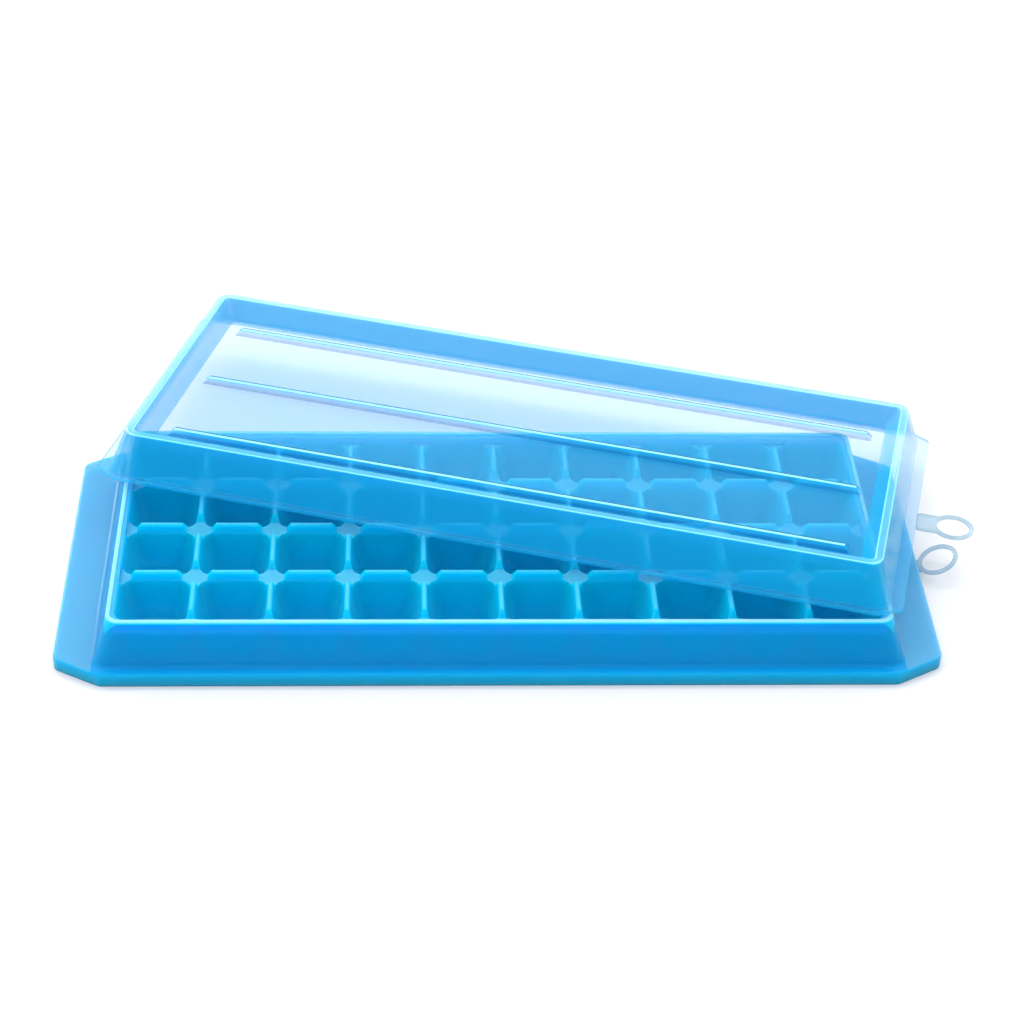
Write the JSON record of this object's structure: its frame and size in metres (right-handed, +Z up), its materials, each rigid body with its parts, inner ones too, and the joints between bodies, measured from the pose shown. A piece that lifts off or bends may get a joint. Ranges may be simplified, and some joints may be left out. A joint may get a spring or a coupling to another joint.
{
  "type": "covered ice cube tray",
  "caption": "Long ice cube tray with square tapered cells, a flared outer wall and flange, a raised-rim lid lying askew on top, and a clear ring pull on one end of each.",
  "frame": {"origin": "middle of the outline of the tray and the lid together, on the table", "axes": "+Z up, +X along the tray's length towards the ring pulls, +Y away from the viewer of the picture"},
  "size_m": [0.3444, 0.2148, 0.0423],
  "materials": {
    "blue_plastic": "smooth translucent moulded polypropylene",
    "pale_blue_plastic": "smooth translucent moulded polypropylene, paler than the tray",
    "clear_plastic": "clear flexible moulded plastic"
  },
  "bodies": {
    "tray_body": {"tray": "blue_plastic"},
    "lid_body": {"lid": "pale_blue_plastic"},
    "lid_pull": {"lid_ring_pull": "clear_plastic"},
    "tray_pull": {"tray_ring_pull": "clear_plastic"}
  },
  "joints": [
    {"name": "lid_lift", "type": "slide", "parent": "tray_body", "child": "lid_body", "axis": [0, 0, 1], "range_m": [0, 0.12]},
    {"name": "lid_pull_bend", "type": "hinge", "parent": "lid_body", "child": "lid_pull", "pos_m": [0.15155, -0.03545, 0.01881], "axis": [-0.2631, -0.9616, 0.0785], "range_deg": [-12, 60], "stiffness_Nm_per_rad": 0.002},
    {"name": "tray_pull_bend", "type": "hinge", "parent": "tray_body", "child": "tray_pull", "pos_m": [0.15206, -0.04234, 0.0022], "axis": [0, -1, 0], "range_deg": [-20, 15], "stiffness_Nm_per_rad": 0.002}
  ]
}
